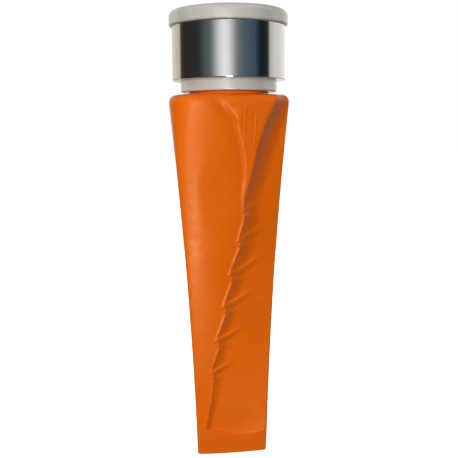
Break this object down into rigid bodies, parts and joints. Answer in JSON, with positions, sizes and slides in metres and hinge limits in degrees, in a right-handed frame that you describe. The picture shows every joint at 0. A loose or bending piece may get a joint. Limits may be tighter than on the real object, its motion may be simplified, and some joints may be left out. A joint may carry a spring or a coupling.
{
  "type": "felling wedge",
  "caption": "Twisted metal felling wedge with barbed splitting recesses, a plastic striking insert and a steel ring round it.",
  "frame": {"origin": "middle of the cutting edge, which is the lowest point of the wedge", "axes": "+Z from the cutting edge to the striking face, -Y out of the front face, +X along the cutting edge towards the front recess"},
  "size_m": [0.0586, 0.0584, 0.2244],
  "materials": {
    "painted_body": "forged aluminium with a semi-gloss orange coat",
    "insert_plastic": "satin off-white polyamide",
    "ring_steel": "bright drawn steel"
  },
  "bodies": {
    "wedge": {"wedge_body": "painted_body"},
    "insert": {"impact_insert": "insert_plastic"},
    "ring": {"retaining_ring": "ring_steel"}
  },
  "joints": [
    {"name": "insert_pull", "type": "slide", "parent": "wedge", "child": "insert", "axis": [0, 0, 1], "range_m": [0, 0.036]},
    {"name": "ring_slide", "type": "slide", "parent": "insert", "child": "ring", "axis": [0, 0, -1], "range_m": [0, 0.0065]}
  ]
}
